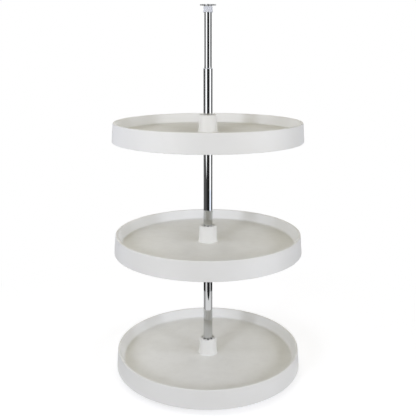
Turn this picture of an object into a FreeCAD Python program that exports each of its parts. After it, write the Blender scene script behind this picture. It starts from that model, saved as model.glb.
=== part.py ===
import FreeCAD, Part
import math
import os
import re
import Sketcher

# Rotating pantry fitting: three round moulded trays that turn on one telescoping chrome pole.
# The pole stands in a bracket on the cabinet floor, and a second bracket holds its upper end.
# Millimetres. +Z is up, the origin is on the cabinet floor at the pole's axis, and -Y is the front.

NODE_FOLDER = "parts"

SIZES = (
    # whole fitting, from the cabinet floor
    ("overall_height", 892, "upper face of the ceiling plate"),
    ("bottom_floor", 32.4, "upper face of the bottom tray's floor"),
    ("middle_floor", 325.1, "upper face of the middle tray's floor"),
    ("top_floor", 596.3, "upper face of the top tray's floor"),
    # tray shell, heights from the tray's own floor
    ("skirt_radius", 228.6, "outside of the skirt at its foot"),
    ("rim_radius", 225.3, "outside of the skirt at the rim"),
    ("rim_rise", 24, "rim above the floor"),
    ("skirt_drop", 21, "foot of the skirt below the floor"),
    ("lip_width", 5, "rim across the top"),
    ("lip_depth", 3, "solid depth of the rim"),
    ("lip_round", 2.2, "rounding of the rim's two edges"),
    ("floor_radius", 211.7, "foot of the inner wall"),
    ("floor_thickness", 3, "tray floor"),
    ("foot_round", 6, "rounding from floor to inner wall"),
    ("wall", 2.4, "skirt and inner wall"),
    # hub tower, moulded with the tray
    ("hub_rise", 40, "hub's top above the floor"),
    ("hub_top_radius", 20.4, "outside at the top"),
    ("hub_foot_radius", 23.1, "outside at the floor"),
    ("hub_bore_radius", 15.5, "open bore round the pole"),
    ("hub_foot_round", 2.5, "rounding from hub to floor"),
    ("hub_top_round", 1.2, "rounding of the hub's top edge"),
    ("hub_rib_count", 8, "ribs that centre the hub on the pole"),
    ("hub_rib_width", 4, "one centring rib"),
    ("hub_rib_gap", 0.4, "between rib and pole"),
    # underside of the tray
    ("boss_radius", 26, "boss round the bearing bush"),
    ("boss_drop", 15, "foot of the boss below the floor"),
    ("rib_count", 12, "spokes under the floor"),
    ("rib_thickness", 2.2, "spokes and ring rib"),
    ("rib_drop", 13, "foot of the ribs below the floor"),
    ("ring_rib_radius", 120, "middle of the ring rib"),
    # bearing under each hub
    ("running_gap", 0.06, "bush and guide ring to their tubes, each side"),
    ("push_gap", 0.05, "pieces that push together, each side"),
    ("thrust_gap", 0.1, "bush flange above the washer"),
    ("bush_radius", 14.5, "sleeve of the bush"),
    ("bush_length", 14, "sleeve above its flange"),
    ("bush_relief", 0.5, "end of the bush's seat above the sleeve"),
    ("bush_flange_radius", 21, "flange of the bush"),
    ("bush_flange", 3, "thickness of that flange"),
    ("washer_radius", 20, "thrust washer"),
    ("washer_bore_radius", 11.3, "thrust washer's hole"),
    ("washer_thickness", 2, "thrust washer"),
    # clamping collar under the middle and top trays
    ("collar_radius", 22, "outside of the collar"),
    ("collar_length", 14, "along the pole"),
    ("grub_radius", 3, "grub screw"),
    ("grub_length", 10, "grub screw"),
    ("socket_across", 3, "hexagon socket across its flats"),
    ("socket_depth", 3, "hexagon socket"),
    # pole
    ("lower_tube_radius", 11.1, "outside of the wider tube"),
    ("lower_tube_wall", 1.2, "wider tube"),
    ("lower_tube_foot", 5, "its lower end"),
    ("tube_mouth", 746, "upper face of the guide ring in its mouth"),
    ("upper_tube_radius", 9, "outside of the thinner tube"),
    ("upper_tube_wall", 1, "thinner tube"),
    ("upper_tube_top", 884.2, "its upper end"),
    ("upper_tube_length", 300, "thinner tube"),
    ("guide_flange", 1.2, "rim of the guide ring over the tube's end"),
    ("guide_flange_radius", 11.3, "the same, outside"),
    ("guide_length", 25, "guide ring inside the tube"),
    # twist lock inside the pole, heights below the thinner tube's lower end
    ("plug_rise", 16, "plug inside the thinner tube"),
    ("plug_flange", 3, "flange below the tube's end"),
    ("stud_radius", 3, "threaded stud"),
    ("stud_rise", 14, "stud's top above the tube's end"),
    ("stud_drop", 46, "upper face of the stud's head"),
    ("stud_head", 3, "thickness of that head"),
    ("stud_head_radius", 5, "stop for the wedge nut"),
    ("sleeve_radius", 9.8, "split sleeve"),
    ("sleeve_top", 3.2, "its top, under the plug"),
    ("sleeve_web", 2.5, "its closed end"),
    ("sleeve_drop", 41, "its foot"),
    ("sleeve_slit", 3, "width of the slit"),
    ("sleeve_slit_top", 11, "upper end of the slit"),
    ("wedge_top", 23, "thin end of the wedge nut"),
    ("wedge_foot", 35, "thick end of the taper"),
    ("wedge_drop", 37, "foot of the nut"),
    ("wedge_top_radius", 4.8, "thin end"),
    ("wedge_radius", 7.2, "thick end"),
    ("wedge_gap", 0.12, "wedge nut to the sleeve's taper"),
    ("key_width", 2.6, "keys that run in the slit"),
    ("key_radius", 9.2, "outside of the keys"),
    # floor bracket
    ("plate_radius", 48, "steel plate"),
    ("plate_thickness", 3, "steel plate"),
    ("plate_edge", 0.8, "chamfer of its upper edge"),
    ("floor_screw_circle", 38, "radius of the ring of screw holes"),
    ("floor_screw_count", 4, "screw holes"),
    ("floor_screw_radius", 2.25, "screw hole"),
    ("countersink", 2, "depth of each countersink"),
    ("spigot_foot_radius", 24, "moulded foot on the plate"),
    ("spigot_top_radius", 20, "shoulder that carries the bottom tray"),
    ("spigot_core_radius", 9.8, "core inside the tube"),
    ("spigot_core_top", 42, "upper end of the core"),
    ("spigot_core_taper", 1.5, "lead-in at the core's top"),
    ("spigot_screw_radius", 2.5, "screw up through the plate"),
    ("spigot_screw_top", 22, "its tip"),
    ("spigot_screw_recess", 0.2, "its head above the cabinet floor"),
    # ceiling bracket
    ("cup_foot", 874, "mouth of the cup"),
    ("cup_mouth_radius", 11.5, "outside at the mouth"),
    ("cup_waist_radius", 10.6, "outside above the flare"),
    ("cup_waist", 880, "upper end of the flare"),
    ("cup_top_radius", 10.4, "outside at the plate"),
    ("cup_bore_radius", 9.1, "bore over the thinner tube"),
    ("cup_roof", 2.7, "closed end under the plate"),
    ("cup_lead_in", 0.8, "chamfer inside the mouth"),
    ("ceiling_plate", 2.5, "thickness of the plate"),
    ("ceiling_disc_radius", 10.9, "middle of the plate"),
    ("plate_neck", 2.3, "raised middle of the plate that the cup hangs from"),
    ("plate_neck_radius", 9.3, "outside of that raised middle"),
    ("ear_reach", 14, "screw hole from the pole's axis"),
    ("ear_radius", 4.6, "end of each ear"),
    ("ear_hole_radius", 1.8, "screw hole"),
    ("ear_countersink", 1.2, "depth of its countersink"),
    ("rivet_radius", 2.5, "rivet's shank"),
    ("rivet_head_radius", 4.3, "rivet's flush head"),
    ("rivet_tail_radius", 4.2, "rivet's set end"),
    ("rivet_tail", 1.4, "thickness of the set end"),
)

doc = FreeCAD.newDocument("pantry_trays")
sheet = doc.addObject("Spreadsheet::Sheet", "sizes")
for row, (alias, size, meaning) in enumerate(SIZES, start=1):
    sheet.set(f"A{row}", alias)
    sheet.set(f"B{row}", str(size))
    sheet.set(f"C{row}", meaning)
    sheet.setAlias(f"B{row}", alias)
doc.recompute()
NAMES = {alias for alias, size, meaning in SIZES}

# Places and slopes that more than one piece uses, as expressions of the sheet's cells.
TUBE_BORE = "(lower_tube_radius - lower_tube_wall)"
UPPER_BORE = "(upper_tube_radius - upper_tube_wall)"
TUBE_END = "(tube_mouth - guide_flange)"
POLE_END = "(upper_tube_top - upper_tube_length)"
PLATE_TOP = "overall_height"
PLATE_FOOT = "(overall_height - ceiling_plate)"
NECK_FOOT = "(overall_height - ceiling_plate - plate_neck)"
ROOF_FOOT = "(overall_height - ceiling_plate - plate_neck - cup_roof)"
BUSH_FOOT = "(boss_drop + bush_flange)"
WASHER_TOP = "(boss_drop + bush_flange + thrust_gap)"
COLLAR_TOP = "(boss_drop + bush_flange + thrust_gap + washer_thickness)"
SKIRT_LEAN = "((skirt_radius - rim_radius) / (rim_rise + skirt_drop))"
WALL_LEAN = "((rim_radius - lip_width - floor_radius) / rim_rise)"
WALL_ACROSS = f"(wall * sqrt(1 + {WALL_LEAN}^2))"
WEDGE_LEAN = "((wedge_radius - wedge_top_radius) / (wedge_foot - wedge_top))"


def linked(text):
    """The expression with each of the sheet's names written as the sheet's cell."""
    return re.sub(r"[a-z_]+", lambda m: "sizes." + m.group() if m.group() in NAMES else m.group(), text)


def number(text):
    """What an expression comes to."""
    return float(sheet.evalExpression(linked(text)))


def bind(feature, prop, text):
    feature.setExpression(prop, linked(text))


# Sketches

def new_body(name, rise="0"):
    """An empty body whose own origin stands at a height above the cabinet floor."""
    body = doc.addObject("PartDesign::Body", name)
    body.Label = name
    bind(body, ".Placement.Base.z", rise)
    return body


def origin_feature(body, role):
    return next(item for item in body.Origin.OriginFeatures if item.Role == role)


def new_sketch(body, name, plane, lift="0", turn="0"):
    """A sketch on one of the body's own planes, lifted along the plane's normal and turned about it."""
    sketch = body.newObject("Sketcher::SketchObject", name)
    sketch.AttachmentSupport = (origin_feature(body, plane), [""])
    sketch.MapMode = "FlatFace"
    spin = FreeCAD.Rotation(FreeCAD.Vector(0, 0, 1), number(turn))
    sketch.AttachmentOffset = FreeCAD.Placement(FreeCAD.Vector(0, 0, number(lift)), spin)
    bind(sketch, ".AttachmentOffset.Base.z", lift)
    return sketch


def pin_point(sketch, curve, vertex, across, up):
    """Fixes a point of a curve at two expressions from the sketch's origin."""
    for kind, text in (("DistanceX", across), ("DistanceY", up)):
        index = sketch.addConstraint(Sketcher.Constraint(kind, -1, 1, curve, vertex, number(text)))
        bind(sketch, f"Constraints[{index}]", text)


def outline(body, name, corners, plane="XZ_Plane", lift="0", turn="0"):
    """A closed outline of straight lines through corners, each an (across, up) pair of expressions."""
    sketch = new_sketch(body, name, plane, lift, turn)
    places = [FreeCAD.Vector(number(across), number(up), 0) for across, up in corners]
    for start, end in zip(places, places[1:] + places[:1]):
        sketch.addGeometry(Part.LineSegment(start, end), False)
    for line in range(len(corners)):
        following = (line + 1) % len(corners)
        sketch.addConstraint(Sketcher.Constraint("Coincident", line, 2, following, 1))
    for line, (across, up) in enumerate(corners):
        pin_point(sketch, line, 1, across, up)
    return sketch


def rings(body, name, circles, plane="XY_Plane", lift="0"):
    """Circles, each an (across, up, radius) triple of expressions."""
    sketch = new_sketch(body, name, plane, lift)
    for across, up, radius in circles:
        centre = FreeCAD.Vector(number(across), number(up), 0)
        curve = sketch.addGeometry(Part.Circle(centre, FreeCAD.Vector(0, 0, 1), number(radius)), False)
        pin_point(sketch, curve, 3, across, up)
        index = sketch.addConstraint(Sketcher.Constraint("Radius", curve, number(radius)))
        bind(sketch, f"Constraints[{index}]", radius)
    return sketch


def polygon(radius, count):
    """Corners of a regular polygon with a corner on the across axis."""
    turns = [360 * corner / count for corner in range(count)]
    return [(f"{radius} * cos({turn:g})", f"{radius} * sin({turn:g})") for turn in turns]


def box(left, right, low, high):
    return [(left, low), (right, low), (right, high), (left, high)]


# Features

def revolve(body, name, corners):
    """Turns an outline in the XZ plane about the pole's axis."""
    feature = body.newObject("PartDesign::Revolution", name)
    feature.Profile = outline(body, name + "_outline", corners)
    feature.ReferenceAxis = (feature.Profile[0], ["V_Axis"])
    feature.Angle = 360
    body.Tip = feature
    return feature


def extrude(kind, body, name, sketch, length, reverse=False, middle=False):
    feature = body.newObject("PartDesign::" + kind, name)
    feature.Profile = sketch
    bind(feature, "Length", length)
    feature.Reversed = reverse
    feature.Midplane = middle
    body.Tip = feature
    doc.recompute()
    return feature


def pad(*words, **options):
    return extrude("Pad", *words, **options)


def pocket(body, *words, **options):
    """A pocket that must take something away."""
    doc.recompute()
    before = body.Shape.Volume
    feature = extrude("Pocket", body, *words, **options)
    if body.Shape.Volume >= before - 1e-6:
        raise RuntimeError(f"{body.Label}: {feature.Label} cuts nothing")
    return feature


def round_array(body, name, feature, count):
    pattern = body.newObject("PartDesign::PolarPattern", name)
    pattern.Originals = [feature]
    pattern.Axis = (origin_feature(body, "Z_Axis"), [""])
    pattern.Angle = 360
    bind(pattern, "Occurrences", count)
    body.Tip = pattern
    doc.recompute()
    return pattern


def ring_edges(body, places):
    """Names of the body's whole circular edges at (radius, height) pairs."""
    wanted = [(number(radius), number(height)) for radius, height in places]
    names = []
    for index, edge in enumerate(body.Tip.Shape.Edges, start=1):
        if not (isinstance(edge.Curve, Part.Circle) and edge.isClosed()):
            continue
        ring = (edge.Curve.Radius, edge.Curve.Center.z)
        if any(math.dist(ring, place) < 1e-4 for place in wanted):
            names.append(f"Edge{index}")
    return names


def soften(kind, body, name, places, amount, count=None):
    """A fillet or chamfer on ring edges; count is how many there must be."""
    doc.recompute()
    names = ring_edges(body, places)
    if len(names) != (count or len(places)):
        raise RuntimeError(f"{body.Label}: {name} finds {len(names)} edges")
    base = body.Tip
    feature = body.newObject("PartDesign::" + kind, name)
    feature.Base = (base, names)
    bind(feature, "Radius" if kind == "Fillet" else "Size", amount)
    body.Tip = feature
    doc.recompute()
    return feature


# Trays

def tray(name, rise):
    """One moulding: skirt, rounded rim, inner wall, floor, hub tower and the ribs underneath."""
    body = new_body(name, rise)
    lip_foot = "rim_rise - lip_depth"
    bush_bore = "bush_radius + push_gap"
    seat_end = "bush_length - boss_drop + bush_relief"
    revolve(body, name + "_shell", [
        ("hub_bore_radius", "hub_rise"),
        ("hub_top_radius", "hub_rise"),
        ("hub_foot_radius", "0"),
        ("floor_radius", "0"),
        ("rim_radius - lip_width", "rim_rise"),
        ("rim_radius", "rim_rise"),
        ("skirt_radius", "-skirt_drop"),
        ("skirt_radius - wall", "-skirt_drop"),
        (f"rim_radius - wall + {SKIRT_LEAN} * lip_depth", lip_foot),
        (f"floor_radius + {WALL_ACROSS} + {WALL_LEAN} * ({lip_foot})", lip_foot),
        (f"floor_radius + {WALL_ACROSS} - {WALL_LEAN} * floor_thickness", "-floor_thickness"),
        ("boss_radius", "-floor_thickness"),
        ("boss_radius", "-boss_drop"),
        (bush_bore, "-boss_drop"),
        (bush_bore, seat_end),
        ("hub_bore_radius", seat_end),
    ])
    soften("Fillet", body, name + "_rim",
           [("rim_radius", "rim_rise"), ("rim_radius - lip_width", "rim_rise")], "lip_round")
    soften("Fillet", body, name + "_wall_foot", [("floor_radius", "0")], "foot_round")
    soften("Fillet", body, name + "_hub_foot", [("hub_foot_radius", "0")], "hub_foot_round")
    soften("Fillet", body, name + "_hub_edge", [("hub_top_radius", "hub_rise")], "hub_top_round")

    hub_rib = outline(
        body, name + "_hub_rib_outline",
        box("lower_tube_radius + hub_rib_gap", "(hub_bore_radius + hub_top_radius) / 2",
            "-hub_rib_width / 2", "hub_rib_width / 2"),
        plane="XY_Plane", lift=seat_end, turn="180 / hub_rib_count")
    rib = pad(body, name + "_hub_rib", hub_rib, f"hub_rise - ({seat_end})")
    round_array(body, name + "_hub_ribs", rib, "hub_rib_count")

    spoke_outline = outline(
        body, name + "_spoke_outline",
        box("(bush_radius + boss_radius) / 2", "rim_radius + wall / 2", "-rib_thickness / 2", "rib_thickness / 2"),
        plane="XY_Plane", lift="-rib_drop")
    spoke = pad(body, name + "_spoke", spoke_outline, "rib_drop - floor_thickness / 2")
    round_array(body, name + "_spokes", spoke, "rib_count")
    revolve(body, name + "_ring_rib", box(
        "ring_rib_radius - rib_thickness / 2", "ring_rib_radius + rib_thickness / 2",
        "-rib_drop", "-floor_thickness / 2"))
    return body


def hub_bush(name, rise):
    """Flanged sleeve that is pushed up into the tray's boss and turns on the pole."""
    body = new_body(name, rise)
    bore = "lower_tube_radius + running_gap"
    revolve(body, name + "_turning", [
        (bore, f"-{BUSH_FOOT}"),
        ("bush_flange_radius", f"-{BUSH_FOOT}"),
        ("bush_flange_radius", "-boss_drop"),
        ("bush_radius", "-boss_drop"),
        ("bush_radius", "bush_length - boss_drop"),
        (bore, "bush_length - boss_drop"),
    ])
    return body


def thrust_washer(name, rise):
    body = new_body(name, rise)
    revolve(body, name + "_turning", box(
        "washer_bore_radius", "washer_radius", f"-{COLLAR_TOP}", f"-{WASHER_TOP}"))
    return body


def support_collar(name, rise):
    """Steel ring on the wider tube, drilled from the front for its grub screw."""
    body = new_body(name, rise)
    revolve(body, name + "_turning", box(
        "lower_tube_radius + push_gap", "collar_radius", f"-{COLLAR_TOP} - collar_length", f"-{COLLAR_TOP}"))
    drill = rings(body, name + "_drill", [("0", f"-{COLLAR_TOP} - collar_length / 2", "grub_radius + push_gap")],
                  plane="XZ_Plane")
    pocket(body, name + "_screw_hole", drill, "collar_radius + 1", reverse=True)
    return body


def collar_screw(name, rise):
    """Grub screw whose point stands just off the tube."""
    body = new_body(name, rise)
    middle = f"-{COLLAR_TOP} - collar_length / 2"
    tip = "lower_tube_radius + push_gap"
    rod = rings(body, name + "_circle", [("0", middle, "grub_radius")], plane="XZ_Plane", lift=tip)
    pad(body, name + "_rod", rod, "grub_length")
    corner = "socket_across / 2 / cos(30)"
    hexagon = [(across, f"{middle} + {up}") for across, up in polygon(f"{corner}", 6)]
    socket = outline(body, name + "_hexagon", hexagon, plane="XZ_Plane", lift=f"{tip} + grub_length")
    pocket(body, name + "_socket", socket, "socket_depth")
    return body


# Floor bracket

def floor_plate():
    """Round steel plate with countersunk holes: four from above, one from below for the foot's screw."""
    body = new_body("floor_plate")
    pad(body, "plate_disc", rings(body, "plate_circle", [("0", "0", "plate_radius")]), "plate_thickness")
    soften("Chamfer", body, "plate_edge_cut", [("plate_radius", "plate_thickness")], "plate_edge")
    drill = rings(body, "plate_drill", [("floor_screw_circle", "0", "floor_screw_radius")])
    hole = pocket(body, "plate_hole", drill, "plate_thickness", reverse=True)
    round_array(body, "plate_holes", hole, "floor_screw_count")
    centre = rings(body, "plate_centre_drill", [("0", "0", "spigot_screw_radius + push_gap")])
    pocket(body, "plate_centre_hole", centre, "plate_thickness", reverse=True)
    soften("Chamfer", body, "plate_centre_sink", [("spigot_screw_radius + push_gap", "0")],
           "countersink + spigot_screw_recess")
    soften("Chamfer", body, "plate_sinks", [("floor_screw_radius", "plate_thickness")], "countersink", count=4)
    return body


def floor_spigot():
    """Moulded foot: a shoulder for the bottom tray's washer, a socket for the tube and a core inside it."""
    body = new_body("floor_spigot")
    bore = "spigot_screw_radius + push_gap"
    socket = "lower_tube_radius + push_gap"
    shoulder = f"bottom_floor - {COLLAR_TOP}"
    revolve(body, "spigot_turning", [
        (bore, "plate_thickness"),
        ("spigot_foot_radius", "plate_thickness"),
        ("spigot_top_radius", shoulder),
        (socket, shoulder),
        (socket, "lower_tube_foot"),
        ("spigot_core_radius", "lower_tube_foot"),
        ("spigot_core_radius", "spigot_core_top - spigot_core_taper"),
        ("spigot_core_radius - spigot_core_taper", "spigot_core_top"),
        (bore, "spigot_core_top"),
    ])
    return body


def spigot_screw():
    """Countersunk screw up through the plate into the foot."""
    body = new_body("spigot_screw")
    revolve(body, "spigot_screw_turning", [
        ("0", "spigot_screw_recess"),
        ("spigot_screw_radius + countersink", "spigot_screw_recess"),
        ("spigot_screw_radius", "spigot_screw_recess + countersink"),
        ("spigot_screw_radius", "spigot_screw_top - spigot_screw_radius"),
        ("0", "spigot_screw_top"),
    ])
    return body


# Pole and its twist lock

def tube(name, radius, wall, foot, top):
    body = new_body(name)
    revolve(body, name + "_wall", box(f"{radius} - {wall}", radius, foot, top))
    return body


def tube_bush():
    """Guide ring in the wider tube's mouth, with a thin rim over the tube's end."""
    body = new_body("tube_bush")
    bore = "upper_tube_radius + running_gap"
    sleeve = f"{TUBE_BORE} - push_gap"
    revolve(body, "tube_bush_turning", [
        (bore, f"{TUBE_END} - guide_length"),
        (sleeve, f"{TUBE_END} - guide_length"),
        (sleeve, TUBE_END),
        ("guide_flange_radius", TUBE_END),
        ("guide_flange_radius", "tube_mouth - guide_flange / 3"),
        ("guide_flange_radius - guide_flange / 3", "tube_mouth"),
        (bore, "tube_mouth"),
    ])
    return body


def lock_plug():
    """Plug pressed into the thinner tube's lower end; the stud is fixed in it."""
    body = new_body("lock_plug", POLE_END)
    bore = "stud_radius + push_gap"
    shank = f"{UPPER_BORE} - push_gap"
    revolve(body, "lock_plug_turning", [
        (bore, "-plug_flange"),
        ("upper_tube_radius", "-plug_flange"),
        ("upper_tube_radius", "0"),
        (shank, "0"),
        (shank, "plug_rise"),
        (bore, "plug_rise"),
    ])
    return body


def lock_stud():
    """Stud with a head at its foot that stops the wedge nut."""
    body = new_body("lock_stud", POLE_END)
    revolve(body, "lock_stud_turning", [
        ("0", "-stud_drop - stud_head"),
        ("stud_head_radius", "-stud_drop - stud_head"),
        ("stud_head_radius", "-stud_drop"),
        ("stud_radius", "-stud_drop"),
        ("stud_radius", "stud_rise"),
        ("0", "stud_rise"),
    ])
    return body


def lock_cone():
    """Wedge nut on the stud, with two keys that run in the sleeve's slit."""
    body = new_body("lock_cone", POLE_END)
    bore = "stud_radius + 2 * push_gap"
    revolve(body, "lock_cone_turning", [
        (bore, "-wedge_drop"),
        ("wedge_radius", "-wedge_drop"),
        ("wedge_radius", "-wedge_foot"),
        ("wedge_top_radius", "-wedge_top"),
        (bore, "-wedge_top"),
    ])
    key = outline(body, "lock_key_outline",
                  box("-key_width / 2", "key_width / 2", "wedge_top_radius - 1", "key_radius"),
                  plane="XY_Plane", lift="-wedge_drop")
    key_pad = pad(body, "lock_key", key, "wedge_drop - (wedge_top + wedge_foot) / 2")
    round_array(body, "lock_keys", key_pad, "2")
    return body


def lock_sleeve():
    """Split sleeve whose inner taper the wedge nut spreads against the wider tube."""
    body = new_body("lock_sleeve", POLE_END)
    web_foot = "-sleeve_top - sleeve_web"
    bore = "stud_radius + 4 * push_gap"
    narrow = "wedge_top_radius + wedge_gap"
    revolve(body, "lock_sleeve_turning", [
        (bore, "-sleeve_top"),
        (bore, web_foot),
        (narrow, web_foot),
        (narrow, "-wedge_top"),
        (f"{narrow} + {WEDGE_LEAN} * (sleeve_drop - wedge_top)", "-sleeve_drop"),
        ("sleeve_radius", "-sleeve_drop"),
        ("sleeve_radius", "-sleeve_top"),
    ])
    slit = outline(body, "lock_slit_outline",
                   box("-sleeve_slit / 2", "sleeve_slit / 2", "-sleeve_drop - 1", "-sleeve_slit_top"))
    pocket(body, "lock_slit", slit, "2 * sleeve_radius + 2", middle=True)
    return body


# Ceiling bracket

def top_cup():
    """Cup over the thinner tube's end, flared at its mouth."""
    body = new_body("top_cup")
    bore = "rivet_radius + push_gap"
    revolve(body, "top_cup_turning", [
        (bore, NECK_FOOT),
        ("cup_top_radius", NECK_FOOT),
        ("cup_waist_radius", "cup_waist"),
        ("cup_mouth_radius", "cup_foot"),
        ("cup_bore_radius + cup_lead_in", "cup_foot"),
        ("cup_bore_radius", "cup_foot + cup_lead_in"),
        ("cup_bore_radius", ROOF_FOOT),
        (bore, ROOF_FOOT),
    ])
    return body


def top_plate():
    """Round plate with a raised middle and two screw ears, its screw holes countersunk from below."""
    body = new_body("top_plate")
    disc = rings(body, "top_disc_circle", [("0", "0", "ceiling_disc_radius")], lift=PLATE_FOOT)
    pad(body, "top_disc", disc, "ceiling_plate")
    neck = rings(body, "top_neck_circle", [("0", "0", "plate_neck_radius")], lift=NECK_FOOT)
    pad(body, "top_neck", neck, "plate_neck")
    bar = outline(body, "ear_bar_outline", box("-ear_reach", "ear_reach", "-ear_radius", "ear_radius"),
                  plane="XY_Plane", lift=PLATE_FOOT)
    pad(body, "ear_bar", bar, "ceiling_plate")
    tips = rings(body, "ear_circles", [("-ear_reach", "0", "ear_radius"), ("ear_reach", "0", "ear_radius")],
                 lift=PLATE_FOOT)
    pad(body, "ear_tips", tips, "ceiling_plate")
    drill = rings(body, "ear_drill", [("-ear_reach", "0", "ear_hole_radius"),
                                      ("ear_reach", "0", "ear_hole_radius"),
                                      ("0", "0", "rivet_radius + push_gap")], lift=PLATE_TOP)
    pocket(body, "ear_holes", drill, "ceiling_plate + plate_neck")
    soften("Chamfer", body, "ear_sinks", [("ear_hole_radius", PLATE_FOOT)], "ear_countersink", count=2)
    soften("Chamfer", body, "rivet_sink", [("rivet_radius + push_gap", PLATE_TOP)],
           "rivet_head_radius - rivet_radius")
    return body


def top_rivet():
    """Rivet with a flush head in the plate and its set end inside the cup."""
    body = new_body("top_rivet")
    revolve(body, "top_rivet_turning", [
        ("0", PLATE_TOP),
        ("rivet_head_radius", PLATE_TOP),
        ("rivet_radius", f"{PLATE_TOP} - (rivet_head_radius - rivet_radius)"),
        ("rivet_radius", ROOF_FOOT),
        ("rivet_tail_radius", ROOF_FOOT),
        ("rivet_tail_radius", f"{ROOF_FOOT} - rivet_tail"),
        ("0", f"{ROOF_FOOT} - rivet_tail"),
    ])
    return body


# The whole fitting

pieces = [
    floor_plate(),
    floor_spigot(),
    spigot_screw(),
    tube("lower_tube", "lower_tube_radius", "lower_tube_wall", "lower_tube_foot", TUBE_END),
    tube_bush(),
    tube("upper_tube", "upper_tube_radius", "upper_tube_wall", POLE_END, "upper_tube_top"),
    lock_plug(),
    lock_stud(),
    lock_cone(),
    lock_sleeve(),
    top_cup(),
    top_plate(),
    top_rivet(),
]
for level in ("bottom", "middle", "top"):
    floor = level + "_floor"
    pieces.append(tray("tray_" + level, floor))
    pieces.append(hub_bush("hub_bush_" + level, floor))
    pieces.append(thrust_washer("thrust_washer_" + level, floor))
    if level != "bottom":
        pieces.append(support_collar("support_collar_" + level, floor))
        pieces.append(collar_screw("collar_screw_" + level, floor))

doc.recompute()
for item in doc.Objects:
    if "Invalid" in item.State or "Error" in item.State:
        raise RuntimeError(f"{item.Label} did not build")
for piece in pieces:
    if piece.Shape.isNull() or not piece.Shape.isValid() or len(piece.Shape.Solids) != 1:
        raise RuntimeError(f"{piece.Label} is not one sound solid")

os.makedirs(NODE_FOLDER, exist_ok=True)
for piece in pieces:
    piece.Shape.exportStep(os.path.join(NODE_FOLDER, piece.Label + ".step"))
    print(f"{piece.Label:24s} {piece.Shape.Volume / 1000:9.2f} cm3")
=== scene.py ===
"""Looks of a rotating pantry fitting: three moulded trays on a telescoping chrome pole."""

import math

import bmesh
import bpy
from bpy.props import FloatProperty, FloatVectorProperty, IntProperty, PointerProperty
from bpy.types import NodeSocket, Operator, Panel, PropertyGroup
from mathutils import Euler, Matrix, Vector


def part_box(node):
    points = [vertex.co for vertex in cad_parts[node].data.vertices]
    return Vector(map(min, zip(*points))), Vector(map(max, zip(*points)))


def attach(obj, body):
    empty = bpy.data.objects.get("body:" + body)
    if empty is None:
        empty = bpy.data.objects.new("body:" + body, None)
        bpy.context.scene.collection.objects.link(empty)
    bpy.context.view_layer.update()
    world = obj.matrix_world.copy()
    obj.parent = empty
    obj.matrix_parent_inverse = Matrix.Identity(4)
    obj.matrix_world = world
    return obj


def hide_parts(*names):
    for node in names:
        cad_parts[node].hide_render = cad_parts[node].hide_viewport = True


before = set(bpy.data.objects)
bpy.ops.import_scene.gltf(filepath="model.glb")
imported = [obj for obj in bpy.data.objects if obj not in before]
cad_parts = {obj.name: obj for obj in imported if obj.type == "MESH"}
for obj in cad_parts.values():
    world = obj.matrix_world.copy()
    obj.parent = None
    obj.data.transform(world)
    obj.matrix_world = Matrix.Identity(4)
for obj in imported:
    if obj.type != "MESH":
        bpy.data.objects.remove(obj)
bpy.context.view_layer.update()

bl_info = {
    "name": "Rotating Pantry Fitting",
    "version": (1, 0, 0),
    "blender": (4, 5, 0),
    "location": "View3D > Sidebar > Pantry",
    "description": "Three moulded trays on a telescoping chrome pole",
    "category": "Object",
}

LEVELS = ("bottom", "middle", "top")

# Roundings of the smaller edges, in metres
HUB_MOUTH, SKIRT_FOOT, SKIRT_INSIDE, LIP_FOOT = 0.0005, 0.0009, 0.0007, 0.0008
WALL_ROOT, BOSS_ROOT, BOSS_FOOT, BOSS_SEAT = 0.0015, 0.0018, 0.0007, 0.0005
RIB_FOOT, FIN_EDGE = 0.0008, 0.0007
BUSH_BORE, BUSH_FLANGE, BUSH_STEP, BUSH_ROOT, BUSH_END = 0.0005, 0.0006, 0.0004, 0.0003, 0.0006
WASHER_EDGE, COLLAR_EDGE, TUBE_END = 0.0003, 0.0007, 0.0003
RING_EDGE, RING_TOP = 0.0002, 0.0004
PLATE_EDGE, FOOT_EDGE, SHOULDER_EDGE, SOCKET_EDGE = 0.0003, 0.0004, 0.0006, 0.0005
CUP_EDGE, CUP_WAIST, CUP_LIP, CUP_BORE = 0.0004, 0.004, 0.0002, 0.0003

OVERLAP = 0.001                    # how far ribs and fins run into what they join
SPARE = 0.0005                     # how far a hole tool stands out of the piece
SHARP_ANGLE = math.radians(32)     # edges that turn by more are shaded as sharp
CIRCLE_STEPS = 48                  # steps round a screw hole

# Patterns of the finishes, in features a metre
CLOUDS, HAND_AREAS, SMEARS, DUST_PATCHES, RUBBED_SPOTS = 11.0, 23.0, 46.0, 34.0, 130.0
GRAIN_HEIGHT, LINE_HEIGHT = 0.00012, 0.00004     # relief at full strength, in metres
SCUFF_TONE, BARE_TONE = (0.62, 0.61, 0.58, 1.0), (0.90, 0.90, 0.90, 1.0)
# The plastics' dust tone, which on the tray floors also paints their darker, warmer shade
PLASTIC_DUST_AND_SHADE, METAL_DUST = (0.46, 0.43, 0.38, 1.0), (0.34, 0.32, 0.29, 1.0)

# Plastics by slot: setting, share of dust and painted top shade, grain pitch, relief, wear,
# clouding tint
PLASTICS = {
    "white_polymer": ("polymer", 0.40, 0.0009, 0.28, 0.35, (0.985, 0.983, 0.975)),
    "white_nylon": ("nylon", 0.48, 0.0007, 0.3, 0.3, (0.97, 0.975, 0.985)),
    "acetal": ("acetal", 0.32, 0.0012, 0.15, 0.35, (0.97, 0.965, 0.95)),
    "black_nylon": ("black_nylon", 0.24, 0.0006, 0.4, 0.3, (1.5, 1.5, 1.5)),
}
# Metals by slot: setting, share of the dust, lines a metre across and along, relief, wear, and
# how dark the lines are
METALS = {
    "chrome": ("chrome", 0.0, 1100.0, 5.0, 0.012, 0.12, 0.985),
    "zinc_steel": ("zinc", 0.40, 420.0, 420.0, 0.25, 0.5, 0.86),
}

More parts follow.
